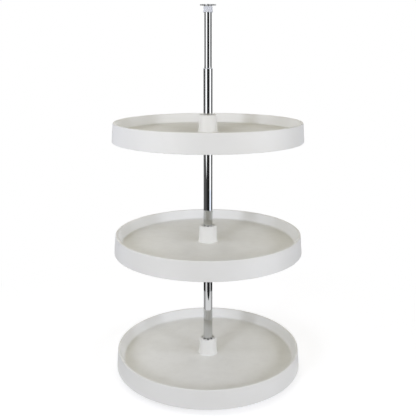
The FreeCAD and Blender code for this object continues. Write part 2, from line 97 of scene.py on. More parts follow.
# Lamps: name, power setting, side and rise in degrees, distance, height aimed at, width, warm
LAMPS = (
    ("key_lamp", "key_power", -32, 14, 4.0, 0.45, 0.8, False),
    ("fill_lamp", "fill_power", 45, 14, 4.0, 0.45, 1.0, False),
    ("right_lamp", "right_power", 77, 14, 3.4, 0.40, 1.2, False),
    ("back_left_lamp", "back_left_power", -150, 35, 2.6, 0.40, 1.2, True),
    ("back_right_lamp", "back_right_power", 150, 35, 2.6, 0.40, 1.2, True),
    ("low_left_lamp", "low_power", -140, 2, 2.6, 0.40, 1.2, False),
    ("low_right_lamp", "low_power", 140, 2, 2.6, 0.40, 1.2, False),
    ("left_lamp", "left_power", -75, 11, 1.3, 0.76, 0.9, False),
    ("high_lamp", "high_power", 0, 35, 1.3, 0.62, 0.9, True),
)

# Studio floor: size and height, its grey under the lamps, the grey and glow that show of it near
# the pole, and the distances over which these fade to white
FLOOR_SIZE, FLOOR_LEVEL = 6.0, -0.0003     # just below the plate, so that the two don't flicker
FLOOR_LIT, FLOOR_SHADE, FLOOR_GLOW = 0.57, 0.45, 0.72
FLOOR_NEAR, FLOOR_FAR = 0.35, 0.9
WHITE = (1.0, 1.0, 1.0, 1.0)

# Mirror cards: distances from the pole, heights, and sectors in degrees from the front
GROUND, EDGE, FAR, BEHIND = 0.25, 0.5, 0.95, 0.95 + 0.01
BASE, LIFTED, STEP_UP, TALL = 0.0025, 0.0025 + 0.001, 0.735, 2.2
FRONT, FRONT_LEFT, FRONT_RIGHT = (-25, 39.6), (-64, -25), (39.6, 80)
LEFT, RIGHT, BACK = (-150, -64), (39.6, 150), (172, 188)
BACK_LEFT, BACK_RIGHT = (-172, -150), (150, 172)
CARD_LEVELS = {"white": 1.63, "pale": 0.94, "shade": 0.43, "mid": 0.26, "grey": 0.13,
               "dark": 0.09, "black": 0.025}
CARD_TONES = {name: (level, level, level) for name, level in CARD_LEVELS.items()}
CARD_TONES["cool"] = (1.37, 1.46, 1.63)


def upright(sector, low=BASE, high=TALL, out=FAR):
    """Rows of a card that stands round the pole."""
    return (out, low, *sector), (out, high, *sector)


def lying(sector, near=GROUND, rim=FAR):
    """Rows of a card that lies on the floor."""
    return (near, BASE, *sector), (rim, BASE, *sector)


CARDS = (
    ("front_flag", "black", upright(FRONT)),
    ("front_floor_card", "pale", lying(FRONT)),
    ("front_floor_wedge", "black",
     ((0.434, LIFTED, 4, 4), (0.511, LIFTED, -22, 47), (FAR, LIFTED, *FRONT))),
    ("left_low_flag", "dark", upright(FRONT_LEFT, high=0.45, out=BEHIND)),
    ("left_floor_card", "pale", lying(FRONT_LEFT)),
    ("left_card", "white", ((FAR, 0.29, -35, -35), *upright(FRONT_LEFT, low=0.447))),
    ("right_low_card", "cool", ((FAR, BASE, 42, 76), (FAR, 0.25, *FRONT_RIGHT))),
    ("right_card", "white", upright(FRONT_RIGHT, low=0.25, high=STEP_UP)),
    ("right_high_card", "white", upright((35.5, 69), low=STEP_UP)),
    ("right_flag", "grey", upright(RIGHT, out=BEHIND)),
    ("right_floor_card", "pale", lying((39.6, 82), rim=EDGE)),
    ("right_floor_strip", "pale", lying((39.6, 68), near=EDGE)),
    ("right_floor_shade", "shade", lying((82, 150), rim=EDGE)),
    ("right_floor_flag", "black", lying((68, 150), near=EDGE)),
    ("left_flag", "grey", upright(LEFT, high=STEP_UP)),
    ("left_high_flag", "mid", upright(LEFT, low=STEP_UP)),
    ("left_floor_shade", "shade", lying(LEFT, rim=EDGE)),
    ("left_floor_flag", "black", lying(LEFT, near=EDGE)),
    ("left_back_card", "white", upright(BACK_LEFT)),
    ("right_back_card", "white", upright(BACK_RIGHT)),
    ("back_flag", "grey", upright(BACK)),
)


# Sizes and colours that a user would change

def length(name, default, description):
    return FloatProperty(name=name, description=description, default=default, min=0.0,
                         unit="LENGTH", precision=5)


def share(name, default, description):
    return FloatProperty(name=name, description=description, default=default, min=0.0, max=1.0,
                         subtype="FACTOR")


def tone(name, default, description):
    return FloatVectorProperty(name=name, description=description, default=default, size=3,
                               min=0.0, max=1.0, subtype="COLOR")


def power(name, default, description):
    return FloatProperty(name=name, description=description, default=default, min=0.0,
                         unit="POWER")


def count(name, default, description, least):
    return IntProperty(name=name, description=description, default=default, min=least)


class TraySizes(PropertyGroup):
    bottom_floor: length("Bottom floor", 0.0324, "Upper face of the bottom tray's floor")
    middle_floor: length("Middle floor", 0.3251, "Upper face of the middle tray's floor")
    top_floor: length("Top floor", 0.5963, "Upper face of the top tray's floor")
    skirt_radius: length("Skirt radius", 0.2286, "Outside of the skirt at its foot")
    rim_radius: length("Rim radius", 0.2253, "Outside of the skirt at the rim")
    rim_rise: length("Rim rise", 0.024, "Rim above the floor")
    skirt_drop: length("Skirt drop", 0.021, "Foot of the skirt below the floor")
    lip_width: length("Lip width", 0.005, "Rim across the top")
    lip_depth: length("Lip depth", 0.003, "Solid depth of the rim")
    lip_round: length("Lip rounding", 0.0022, "Rounding of the rim's two edges")
    floor_radius: length("Floor radius", 0.2117, "Foot of the inner wall")
    floor_thickness: length("Floor thickness", 0.003, "Thickness of the tray's floor")
    foot_round: length("Foot rounding", 0.006, "Rounding from floor to inner wall")
    wall: length("Wall", 0.0024, "Thickness of skirt and inner wall")
    segments: count("Segments", 240, "Steps round a tray", 24)


class HubSizes(PropertyGroup):
    rise: length("Rise", 0.040, "Hub's top above the floor")
    top_radius: length("Top radius", 0.0204, "Outside at the top")
    foot_radius: length("Foot radius", 0.0231, "Outside at the floor")
    bore_radius: length("Bore radius", 0.0155, "Open bore round the pole")
    bush_radius: length("Bush", 0.0145, "Bearing bush in the hub's foot")
    foot_round: length("Foot rounding", 0.0025, "Rounding from hub to floor")
    top_round: length("Top rounding", 0.0012, "Rounding of the top edge")
    fin_count: count("Fins", 8, "Ribs that centre the hub on the pole", 3)
    fin_width: length("Fin width", 0.004, "Width of one centring rib")
    fin_gap: length("Fin gap", 0.0004, "Between rib and pole")
    bush_top: length("Bush top", 0.0005, "Upper end of the bush's seat below the floor")
    bush_gap: length("Bush gap", 0.00005, "Between the bush and its seat")


class UndersideSizes(PropertyGroup):
    boss_radius: length("Boss radius", 0.026, "Boss round the bearing bush")
    boss_drop: length("Boss drop", 0.015, "Foot of the boss below the floor")
    spoke_count: count("Spokes", 12, "Ribs under the floor", 3)
    rib_thickness: length("Rib thickness", 0.0022, "Spokes and ring rib")
    rib_drop: length("Rib drop", 0.013, "Foot of the ribs below the floor")
    ring_radius: length("Ring rib", 0.120, "Middle of the ring rib")


class BearingSizes(PropertyGroup):
    flange_radius: length("Bush flange", 0.021, "Outside of the bush's flange")
    flange: length("Flange thickness", 0.003, "Thickness of the bush's flange")
    washer_radius: length("Washer", 0.020, "Outside of the thrust washer")
    washer_bore: length("Washer bore", 0.0113, "Hole of the thrust washer")
    collar_radius: length("Collar", 0.022, "Outside of the clamping collar")
    screw_hole: length("Screw hole", 0.00305, "Hole for the collar's grub screw")
    running_gap: length("Running gap", 0.00006, "Between pieces that turn or slide on each other")
    push_gap: length("Push gap", 0.00005, "Between pieces that are pushed together")


class BracketSizes(PropertyGroup):
    plate_radius: length("Floor plate", 0.048, "Outside of the floor plate")
    plate_edge: length("Floor plate's edge", 0.0009, "Rounding of its upper edge")
    screw_circle: length("Screw circle", 0.038, "Radius of the ring of screw holes")
    screw_hole: length("Floor screw hole", 0.00225, "Radius of one screw hole")
    countersink: length("Countersink", 0.002, "Depth of its countersink")
    centre_hole: length("Centre hole", 0.00255, "Hole for the foot's screw, and for the rivet")
    foot_radius: length("Foot", 0.024, "Moulded foot on the plate")
    shoulder_radius: length("Shoulder", 0.020, "Shoulder that carries the bottom tray")
    core_radius: length("Core", 0.0098, "Core inside the tube")
    core_taper: length("Core taper", 0.0015, "Lead-in at the core's top")
    tube_foot: length("Tube's foot", 0.005, "Lower end of the wider tube")
    cup_top: length("Cup's top", 0.0104, "Outside of the ceiling cup at the plate")
    cup_waist: length("Cup's waist", 0.0106, "Outside above the flare")
    cup_mouth: length("Cup's mouth", 0.0115, "Outside at the mouth")
    cup_flare: length("Cup's flare", 0.006, "Height of the flare")
    cup_bore: length("Cup's bore", 0.0091, "Bore over the thinner tube")
    cup_lead_in: length("Cup's lead-in", 0.0008, "Chamfer inside the mouth")
    cup_roof: length("Cup's roof", 0.0027, "Closed end under the plate")
    ceiling_plate: length("Ceiling plate", 0.0025, "Thickness of the ceiling plate")
    disc_radius: length("Plate's disc", 0.0109, "Middle of the ceiling plate")
    neck_radius: length("Plate's neck", 0.0093, "Raised middle that the cup hangs from")
    ear_reach: length("Ear reach", 0.014, "Screw hole from the pole's axis")
    ear_radius: length("Ear", 0.0046, "End of each ear")
    ear_hole: length("Ear hole", 0.0018, "Screw hole in each ear")
    ear_countersink: length("Ear countersink", 0.0012, "Depth of its countersink")
    rivet_countersink: length("Rivet countersink", 0.0018, "Depth of the rivet's seat")


class PoleSizes(PropertyGroup):
    wide_radius: length("Wider tube", 0.0111, "Outside of the wider tube")
    wide_wall: length("Wider tube's wall", 0.0012, "Wall of the wider tube")
    thin_radius: length("Thinner tube", 0.009, "Outside of the thinner tube")
    thin_wall: length("Thinner tube's wall", 0.001, "Wall of the thinner tube")
    ring_radius: length("Guide ring", 0.0113, "Outside of the guide ring's rim")
    ring_rim: length("Guide ring's rim", 0.0012, "Height of the guide ring's rim")
    segments: count("Segments", 128, "Steps round the small turned pieces", 24)


class Finishes(PropertyGroup):
    polymer: tone("Polymer", (0.805, 0.795, 0.732), "Moulded trays")
    nylon: tone("White nylon", (0.655, 0.665, 0.67), "Ceiling cup, guide ring and washers")
    acetal: tone("Acetal", (0.76, 0.75, 0.71), "Bearing bushes and lock pieces")
    black_nylon: tone("Black nylon", (0.022, 0.022, 0.024), "Floor spigot and lock plug")
    chrome: tone("Chrome", (0.66, 0.67, 0.68), "Both tubes")
    zinc: tone("Zinc plate", (0.63, 0.64, 0.65), "Plates, collars, screws and rivet")
    polymer_roughness: share("Polymer roughness", 0.44, "Satin face of the trays")
    nylon_roughness: share("White nylon roughness", 0.5, "Cup, guide ring and washers")
    acetal_roughness: share("Acetal roughness", 0.38, "Bearing bushes and lock pieces")
    black_nylon_roughness: share("Black nylon roughness", 0.46, "Floor spigot and lock plug")
    chrome_roughness: share("Chrome roughness", 0.035, "Plated tubes")
    zinc_roughness: share("Zinc roughness", 0.42, "Plates, collars, screws and rivet")
    # Darkens faces that look up: dust, and on the tray floors painted shade
    dust: share("Dust", 0.25, "Dust on faces that look up")


class Studio(PropertyGroup):
    key_power: power("Key", 65.5, "Soft lamp at the front left")
    fill_power: power("Fill", 48.5, "Soft lamp at the front right")
    right_power: power("Right", 37.0, "Soft lamp at the right side")
    left_power: power("Left", 7.5, "Soft lamp close to the left side")
    high_power: power("High", 1.5, "Soft lamp close above the front")
    back_left_power: power("Back left", 3.4, "Soft lamp behind the left side")
    back_right_power: power("Back right", 2.4, "Soft lamp behind the right side")
    low_power: power("Low", 15.0, "Each of the two low lamps that light the skirts from behind")
    lamp_tone: tone("Lamp tone", (0.785, 0.822, 1.0), "Colour of the cool lamps")
    ambient: share("Ambient", 0.2, "Light of the white room on the fitting")
    ambient_tone: tone("Ambient tone", (1.0, 0.91, 0.60), "Colour of it and of the warm lamps")
    lens: FloatProperty(name="Lens", description="Focal length for a 36 mm wide picture",
                        default=53.15, min=1.0, unit="CAMERA")
    place: FloatVectorProperty(name="Camera", description="Where the camera stands", size=3,
                               default=(0.0, -1.46096, 0.77153), subtype="TRANSLATION",
                               unit="LENGTH")
    pitch: FloatProperty(name="Pitch", description="How far the camera looks down",
                         default=math.radians(9.4187), subtype="ANGLE", unit="ROTATION")
    shift: FloatProperty(name="Shift", default=-0.1178, min=-1.0, max=1.0,
                         description="Picture below the camera's axis, as a share of its width")


def chosen(*names):
    """The scene's groups of settings with those names."""
    return [getattr(bpy.context.scene, "pantry_" + name) for name in names]


# Meshes

def rounded(corners, steps=6, hold=0.0005):
    """Points (across, up, worn) of a closed outline of (across, up, radius) corners, rounded.

    Outer corners come out as worn. A point close to each rounding keeps the straight run beside
    it flat in shading.
    """
    following = corners[1:] + corners[:1]
    turning = sum(a[0] * b[1] - b[0] * a[1] for a, b in zip(corners, following))
    points = []
    for before, corner, after in zip(corners[-1:] + corners[:-1], corners, following):
        here, radius = Vector(corner[:2]), corner[2]
        if not radius:
            points.append((here.x, here.y, 0.0))
            continue
        back, ahead = Vector(before[:2]) - here, Vector(after[:2]) - here
        runs = back.length, ahead.length
        back.normalize()
        ahead.normalize()
        half = back.angle(ahead) / 2
        reach = radius / math.tan(half)
        centre = here + (back + ahead).normalized() * radius / math.sin(half)
        first, last = here + back * reach - centre, here + ahead * reach - centre
        start = math.atan2(first.y, first.x)
        sweep = (math.atan2(last.y, last.x) - start + math.pi) % (2 * math.pi) - math.pi
        worn = 1.0 if sweep * turning > 0 else 0.0
        if runs[0] > 2 * reach + 4 * hold:
            points.append((*(here + back * (reach + hold)), 0.0))
        for step in range(steps + 1):
            turn = start + sweep * step / steps
            edge = worn * math.sin(math.pi * step / steps)
            points.append((centre.x + radius * math.cos(turn), centre.y + radius * math.sin(turn),
                           edge))
        if runs[1] > 2 * reach + 4 * hold:
            points.append((*(here + ahead * (reach + hold)), 0.0))
    return points


def lathe(outline, segments):
    """A mesh turned about the pole from a closed outline of (radius, height, worn) points."""
    mesh = bmesh.new()
    worn = mesh.verts.layers.float.new("worn_edge")
    rings = []
    for step in range(segments):
        turn = 2 * math.pi * step / segments
        ring = []
        for radius, height, edge in outline:
            point = mesh.verts.new((radius * math.cos(turn), radius * math.sin(turn), height))
            point[worn] = edge
            ring.append(point)
        rings.append(ring)
    for ring, ahead in zip(rings, rings[1:] + rings[:1]):
        for low in range(len(outline)):
            high = (low + 1) % len(outline)
            mesh.faces.new((ring[low], ahead[low], ahead[high], ring[high]))
    bmesh.ops.recalc_face_normals(mesh, faces=mesh.faces)
    return mesh


def extruded(mesh, corners, low, high, place=Matrix.Identity(4)):
    """Adds a prism over a flat outline, from one height to another, put in place by a matrix."""
    foot = [mesh.verts.new(place @ Vector((*corner, low))) for corner in corners]
    top = [mesh.verts.new(place @ Vector((*corner, high))) for corner in corners]
    mesh.faces.new(foot[::-1])
    mesh.faces.new(top)
    for index, point in enumerate(foot):
        ahead = (index + 1) % len(foot)
        mesh.faces.new((point, foot[ahead], top[ahead], top[index]))


def circle(radius):
    """Points of a screw hole's outline."""
    turns = [2 * math.pi * step / CIRCLE_STEPS for step in range(CIRCLE_STEPS)]
    return [(radius * math.cos(turn), radius * math.sin(turn)) for turn in turns]


def new_piece(name, mesh):
    """A piece in the scene with that mesh."""
    data = bpy.data.meshes.new(name)
    mesh.to_mesh(data)
    mesh.free()
    return shaded(bpy.data.objects.new(name, data))


def shaded(piece):
    """Puts a piece in the scene if it isn't there, and shades it smooth up to the sharp edges."""
    if piece.name not in bpy.context.scene.collection.objects:
        bpy.context.scene.collection.objects.link(piece)
    piece.data.shade_smooth()
    piece.data.set_sharp_from_angle(angle=SHARP_ANGLE)
    return piece


def combine(piece, tool, operation):
    """Joins a tool piece to a piece, or cuts it away, and removes the tool."""
    change = piece.modifiers.new(operation.title(), "BOOLEAN")
    change.operation = operation
    change.solver = "EXACT"
    change.use_self = True
    change.object = tool
    graph = bpy.context.evaluated_depsgraph_get()
    finished = bpy.data.meshes.new_from_object(piece.evaluated_get(graph))
    piece.modifiers.clear()
    bpy.data.meshes.remove(tool.data)
    piece.data, old = finished, piece.data
    bpy.data.meshes.remove(old)
    shaded(piece)


def countersink(piece, places, radius, sink, mouth, depth):
    """Cuts screw holes that open out at one height; a negative depth cuts upwards."""
    mesh = bmesh.new()
    side = math.copysign(1, depth)
    levels = ((mouth - depth - side * SPARE, radius), (mouth - side * sink, radius),
              (mouth + side * SPARE, radius + sink + SPARE))
    for across, along in places:
        rings = [[mesh.verts.new((across + x, along + y, height)) for x, y in circle(size)]
                 for height, size in levels]
        mesh.faces.new(rings[0])
        mesh.faces.new(rings[-1])
        for low, high in zip(rings, rings[1:]):
            for index, point in enumerate(low):
                ahead = (index + 1) % len(low)
                mesh.faces.new((point, low[ahead], high[ahead], high[index]))
    bmesh.ops.recalc_face_normals(mesh, faces=mesh.faces)
    combine(piece, new_piece("hole_tool", mesh), "DIFFERENCE")


def turned_piece(name, corners, steps=4):
    """A piece turned from a closed outline of (radius, height, rounding) corners."""
    pole, = chosen("pole")
    return new_piece(name, lathe(rounded(corners, steps), pole.segments))


def place_piece(piece, material, body, *nodes):
    """Gives a piece its finish and its CAD body, in place of CAD nodes."""
    piece.data.materials.clear()
    piece.data.materials.append(finish(material))
    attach(piece, body)
    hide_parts(*nodes)
    return piece


def finish_nodes(material, *nodes):
    """Gives carried-over CAD nodes their finish."""
    for name in nodes:
        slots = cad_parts[name].data.materials
        slots.clear()
        slots.append(finish(material))


def span(node):
    """A CAD node's foot and top along the pole."""
    low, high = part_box(node)
    return low.z, high.z


# Shader nodes

def feed(tree, socket, value):
    """Links a value to a socket, or sets it there."""
    if isinstance(value, NodeSocket):
        tree.links.new(value, socket)
    else:
        socket.default_value = value


def add(tree, kind, inputs=None, **settings):
    """A node with its settings, and its inputs linked or set."""
    made = tree.nodes.new("ShaderNode" + kind)
    for name, value in settings.items():
        setattr(made, name, value)
    for socket, value in (inputs or {}).items():
        feed(tree, made.inputs[socket], value)
    return made


def math_node(tree, operation, *values):
    return add(tree, "Math", dict(enumerate(values)), operation=operation).outputs[0]


def product(tree, first, second):
    return math_node(tree, "MULTIPLY", first, second)


def raised(tree, base, value, amount):
    """A base plus so much of a value."""
    return math_node(tree, "MULTIPLY_ADD", value, amount, base)


def ramp(tree, value, low, high, to_low=0.0, to_high=1.0):
    """A value moved smoothly from one span to another."""
    spans = {"Value": value, "From Min": low, "From Max": high, "To Min": to_low,
             "To Max": to_high}
    return add(tree, "MapRange", spans, interpolation_type="SMOOTHSTEP").outputs["Result"]


def blended(tree, share_of_second, first, second):
    """Two colours mixed; the node's sockets 0, 6 and 7 are its share and its two colours."""
    inputs = {0: share_of_second, 6: first, 7: second}
    return add(tree, "Mix", inputs, data_type="RGBA").outputs[2]


def noise(tree, place, scale, detail, **more):
    inputs = {"Vector": place, "Scale": scale, "Detail": detail}
    inputs.update({label.capitalize(): value for label, value in more.items()})
    return add(tree, "TexNoise", inputs).outputs["Fac"]


def effect(name, inputs, outputs, build):
    """A node group of that name, built the first time that it is asked for."""
    found = bpy.data.node_groups.get(name)
    if found:
        return found
    tree = bpy.data.node_groups.new(name, "ShaderNodeTree")
    for label, value in inputs.items():
        socket = tree.interface.new_socket(label, in_out="INPUT", socket_type="NodeSocketFloat")
        socket.default_value = value
    for label in outputs:
        tree.interface.new_socket(label, in_out="OUTPUT", socket_type="NodeSocketFloat")
    entry, way_out = tree.nodes.new("NodeGroupInput"), tree.nodes.new("NodeGroupOutput")
    for label, value in build(tree, entry.outputs).items():
        tree.links.new(value, way_out.inputs[label])
    return tree


def use_effect(tree, group, **values):
    """The outputs of an effect, with its inputs set."""
    made = tree.nodes.new("ShaderNodeGroup")
    made.node_tree = group
    for label, value in values.items():
        made.inputs[label.capitalize()].default_value = value
    return made.outputs


def own_place(tree, stretch=(1.0, 1.0, 1.0), turn=0.0):
    """The surface's place on its own piece, turned about the pole and stretched."""
    inputs = {"Vector": add(tree, "TexCoord").outputs["Object"], "Scale": stretch,
              "Rotation": (0.0, 0.0, turn)}
    return add(tree, "Mapping", inputs).outputs[0]


def mould_grain():
    """Fine eroded texture of a mould, and the slow clouding of the moulding's tone."""
    def build(tree, given):
        pitch = math_node(tree, "DIVIDE", 1.0, given["Pitch"])
        fine = noise(tree, own_place(tree), pitch, 2.0, roughness=0.55)
        slow = noise(tree, own_place(tree), CLOUDS, 3.0, roughness=0.5)
        return {"Height": product(tree, fine, given["Depth"]),
                "Cloud": ramp(tree, slow, 0.36, 0.66)}
    return effect("Mould Grain", {"Pitch": 0.0006, "Depth": 1.0}, ("Height", "Cloud"), build)


def handling_marks():
    """Short fine scuffs in two directions, and the soft smears that hands leave."""
    def build(tree, given):
        scuffs = None
        for turn, stretch in ((0.5, (38.0, 620.0, 90.0)), (-0.9, (30.0, 760.0, 70.0))):
            lines = noise(tree, own_place(tree, stretch, turn), 1.0, 1.0)
            cut = ramp(tree, lines, 0.66, 0.72)
            scuffs = cut if scuffs is None else math_node(tree, "MAXIMUM", scuffs, cut)
        areas = ramp(tree, noise(tree, own_place(tree), HAND_AREAS, 2.0), 0.46, 0.66)
        smear = noise(tree, own_place(tree), SMEARS, 5.0, distortion=0.6)
        return {"Scuffs": product(tree, product(tree, scuffs, areas), given["Amount"]),
                "Smears": product(tree, ramp(tree, smear, 0.50, 0.72), given["Amount"])}
    return effect("Handling Marks", {"Amount": 0.5}, ("Scuffs", "Smears"), build)


def dust_and_painted_shade():
    """Dust on faces that look up, thicker in slow patches; on the tray floors also painted shade.
    """
    def build(tree, given):
        normal = add(tree, "NewGeometry").outputs["Normal"]
        facing = add(tree, "SeparateXYZ", {"Vector": normal}).outputs["Z"]
        patch = noise(tree, own_place(tree), DUST_PATCHES, 6.0, roughness=0.7)
        # Faces that look up are darkened: dust, and on the tray floors painted shade as well
        lying_dust_and_shade = product(tree, ramp(tree, facing, 0.5, 0.98), ramp(tree, patch, 0.34, 0.74))
        return {"Dust": product(tree, lying_dust_and_shade, given["Amount"])}
    return effect("Settled Dust", {"Amount": 0.3}, ("Dust",), build)


def edge_wear():
    """Edges that handling has rubbed, broken up along their length."""
    def build(tree, given):
        edge = add(tree, "Attribute", attribute_name="worn_edge").outputs["Fac"]
        rub = noise(tree, own_place(tree), RUBBED_SPOTS, 4.0)
        kept = product(tree, edge, ramp(tree, rub, 0.34, 0.62, 0.35))
        return {"Edge": product(tree, kept, given["Amount"])}
    return effect("Edge Wear", {"Amount": 0.5}, ("Edge",), build)


def drawn_lines():
    """Lines that drawing or rolling leaves along a metal piece."""
    def build(tree, given):
        place = add(tree, "TexCoord").outputs["Object"]
        counts = {"X": given["Across"], "Y": given["Across"], "Z": given["Along"]}
        stretch = add(tree, "CombineXYZ", counts).outputs[0]
        scaled = add(tree, "VectorMath", {0: place, 1: stretch}, operation="MULTIPLY").outputs[0]
        return {"Line": noise(tree, scaled, 1.0, 3.0, roughness=0.6)}
    return effect("Drawn Lines", {"Across": 900.0, "Along": 8.0}, ("Line",), build)


def plastic(name, colour, roughness, dust, pitch, relief, wear, tint):
    """A moulded or turned plastic: grained, clouded, dusty and painted darker on top, rubbed at its
    edges.
    """
    material, tree, shader = new_material(name)
    grain = use_effect(tree, mould_grain(), pitch=pitch, depth=1.0)
    marks = use_effect(tree, handling_marks(), amount=wear)
    dusty_and_shaded = use_effect(tree, dust_and_painted_shade(), amount=dust)["Dust"]
    edge = use_effect(tree, edge_wear(), amount=wear)["Edge"]

    cloud_tone = (*[part * change for part, change in zip(colour, tint)], 1.0)
    rubbed_tone = (*[min(1.0, 1.06 * part + 0.01) for part in colour], 1.0)
    clouded = blended(tree, grain["Cloud"], (*colour, 1.0), cloud_tone)
    scuffed = blended(tree, product(tree, marks["Scuffs"], 0.25), clouded, SCUFF_TONE)
    rubbed = blended(tree, product(tree, edge, 0.3), scuffed, rubbed_tone)
    # Faces that look up blend towards the dust tone: dust, and painted shade on the tray floors
    feed(tree, shader.inputs["Base Color"], blended(tree, dusty_and_shaded, rubbed, PLASTIC_DUST_AND_SHADE))

    # Smears and rubbed edges shine more, and the dust and painted shade on top are dull
    smeared = ramp(tree, marks["Smears"], 0.0, 1.0, roughness, roughness - 0.09)
    dulled = raised(tree, smeared, dusty_and_shaded, 0.5)
    feed(tree, shader.inputs["Roughness"], raised(tree, dulled, edge, -0.12))

    bump = {"Strength": relief, "Distance": GRAIN_HEIGHT, "Height": grain["Height"]}
    feed(tree, shader.inputs["Normal"], add(tree, "Bump", bump).outputs[0])
    return material


def metal(name, colour, roughness, dust, across, along, relief, wear, stain):
    """A plated or drawn metal: fine lines, smears, edges rubbed bright."""
    material, tree, shader = new_material(name)
    shader.inputs["Metallic"].default_value = 1.0
    line = use_effect(tree, drawn_lines(), across=across, along=along)["Line"]
    marks = use_effect(tree, handling_marks(), amount=wear)
    dusty_and_shaded = use_effect(tree, dust_and_painted_shade(), amount=dust)["Dust"]
    edge = use_effect(tree, edge_wear(), amount=wear)["Edge"]

    line_tone = (*[part * stain for part in colour], 1.0)
    streaked = blended(tree, ramp(tree, line, 0.3, 0.7), (*colour, 1.0), line_tone)
    bright = blended(tree, product(tree, edge, 0.6), streaked, BARE_TONE)
    feed(tree, shader.inputs["Base Color"], blended(tree, dusty_and_shaded, bright, METAL_DUST))

    # Lines, smears, scuffs and dust all make the metal duller
    lined = ramp(tree, line, 0.3, 0.7, roughness, roughness * 1.35)
    smeared = raised(tree, lined, marks["Smears"], 0.06)
    scuffed = raised(tree, smeared, marks["Scuffs"], 0.10)
    feed(tree, shader.inputs["Roughness"], raised(tree, scuffed, dusty_and_shaded, 0.4))

    bump = {"Strength": relief, "Distance": LINE_HEIGHT, "Height": line}
    feed(tree, shader.inputs["Normal"], add(tree, "Bump", bump).outputs[0])
    return material


def new_material(name):
    material = bpy.data.materials.new(name)
    material.use_nodes = True
    tree = material.node_tree
    return material, tree, tree.nodes["Principled BSDF"]


def finish(slot):
    """The finish of that slot, made the first time that it is asked for."""
    label = "finish_" + slot
    found = bpy.data.materials.get(label)
    if found:
        return found
    looks, = chosen("finishes")
    make, table = (plastic, PLASTICS) if slot in PLASTICS else (metal, METALS)
    setting, dust, *pattern = table[slot]
    return make(label, getattr(looks, setting), getattr(looks, setting + "_roughness"),
                dust * looks.dust, *pattern)


# Trays

def tray_shell(sizes, hub, under):
    """One tray's turned shell about its own floor: rim, skirt, inner wall, hub tower and boss."""
    skirt_lean = (sizes.skirt_radius - sizes.rim_radius) / (sizes.rim_rise + sizes.skirt_drop)
    wall_lean = (sizes.rim_radius - sizes.lip_width - sizes.floor_radius) / sizes.rim_rise
    across = sizes.wall * math.sqrt(1 + wall_lean ** 2)
    lip_foot = sizes.rim_rise - sizes.lip_depth
    seat = hub.bush_radius + hub.bush_gap
    return lathe(rounded([
        (hub.bore_radius, hub.rise, HUB_MOUTH),
        (hub.top_radius, hub.rise, hub.top_round),
        (hub.foot_radius, 0.0, hub.foot_round),
        (sizes.floor_radius, 0.0, sizes.foot_round),
        (sizes.rim_radius - sizes.lip_width, sizes.rim_rise, sizes.lip_round),
        (sizes.rim_radius, sizes.rim_rise, sizes.lip_round),
        (sizes.skirt_radius, -sizes.skirt_drop, SKIRT_FOOT),
        (sizes.skirt_radius - sizes.wall, -sizes.skirt_drop, SKIRT_INSIDE),
        (sizes.rim_radius - sizes.wall + skirt_lean * sizes.lip_depth, lip_foot, LIP_FOOT),
        (sizes.floor_radius + across + wall_lean * lip_foot, lip_foot, LIP_FOOT),
        (sizes.floor_radius + across - wall_lean * sizes.floor_thickness, -sizes.floor_thickness,
         WALL_ROOT),
        (under.boss_radius, -sizes.floor_thickness, BOSS_ROOT),
        (under.boss_radius, -under.boss_drop, BOSS_FOOT),
        (seat, -under.boss_drop, BOSS_SEAT),
        (seat, -hub.bush_top, 0.0),
        (hub.bore_radius, -hub.bush_top, 0.0),
    ]), sizes.segments)


def tray_ribs(sizes, under):
    """The spokes and ring rib under one tray's floor, their feet rounded."""
    half, foot, head = under.rib_thickness / 2, -under.rib_drop, -sizes.floor_thickness / 2

    def outline(middle):
        return rounded([(middle - half, head, 0.0), (middle - half, foot, RIB_FOOT),
                        (middle + half, foot, RIB_FOOT), (middle + half, head, 0.0)], steps=4)

    mesh = lathe(outline(under.ring_radius), sizes.segments)
    section = [point[:2] for point in outline(0.0)]
    start, end = under.boss_radius - OVERLAP, sizes.skirt_radius - sizes.wall / 2 - OVERLAP
    outwards = Matrix(((0, 0, 1, 0), (1, 0, 0, 0), (0, 1, 0, 0), (0, 0, 0, 1)))
    for spoke in range(under.spoke_count):
        turn = Matrix.Rotation(2 * math.pi * spoke / under.spoke_count, 4, "Z")
        extruded(mesh, section, start, end, turn @ outwards)
    bmesh.ops.recalc_face_normals(mesh, faces=mesh.faces)
    return mesh


def hub_fins(hub, pole):
    """The ribs inside the hub that centre it on the pole, their inner corners rounded."""
    near, far = pole.wide_radius + hub.fin_gap, hub.bore_radius + OVERLAP
    half = hub.fin_width / 2
    corners = [(near, -half, FIN_EDGE), (far, -half, 0.0), (far, half, 0.0),
               (near, half, FIN_EDGE)]
    section = [point[:2] for point in rounded(corners, steps=4)]
    mesh = bmesh.new()
    for fin in range(hub.fin_count):
        turn = Matrix.Rotation(math.pi * (2 * fin + 1) / hub.fin_count, 4, "Z")
        extruded(mesh, section, -hub.bush_top, hub.rise, turn)
    bmesh.ops.recalc_face_normals(mesh, faces=mesh.faces)
    return mesh


class PANTRY_OT_trays(Operator):
    """Mould the three trays, each with its rim, skirt, floor, hub tower and ribs"""
    bl_idname = "pantry.trays"
    bl_label = "Trays"

    def execute(self, context):
        sizes, hub, under, pole = chosen("tray", "hub", "underside", "pole")
        moulding = new_piece("tray_moulding", tray_shell(sizes, hub, under))
        combine(moulding, new_piece("fin_tool", hub_fins(hub, pole)), "UNION")
        combine(moulding, new_piece("rib_tool", tray_ribs(sizes, under)), "UNION")
        for level in LEVELS:
            data = moulding.data.copy()
            data.transform(Matrix.Translation((0.0, 0.0, getattr(sizes, level + "_floor"))))
            tray = shaded(bpy.data.objects.new(level + "_tray_moulding", data))
            place_piece(tray, "white_polymer", level + "_tray", "tray_" + level)
        bpy.data.meshes.remove(moulding.data)
        return {"FINISHED"}


# Bearings and collars

def turned(name, node, radii, material, body, edge):
    """A ring with a flat head and foot, as long as its CAD node."""
    foot, top = span(node)
    inner, outer = radii
    corners = [(inner, foot, edge), (outer, foot, edge), (outer, top, edge), (inner, top, edge)]
    return place_piece(turned_piece(name, corners), material, body, node)


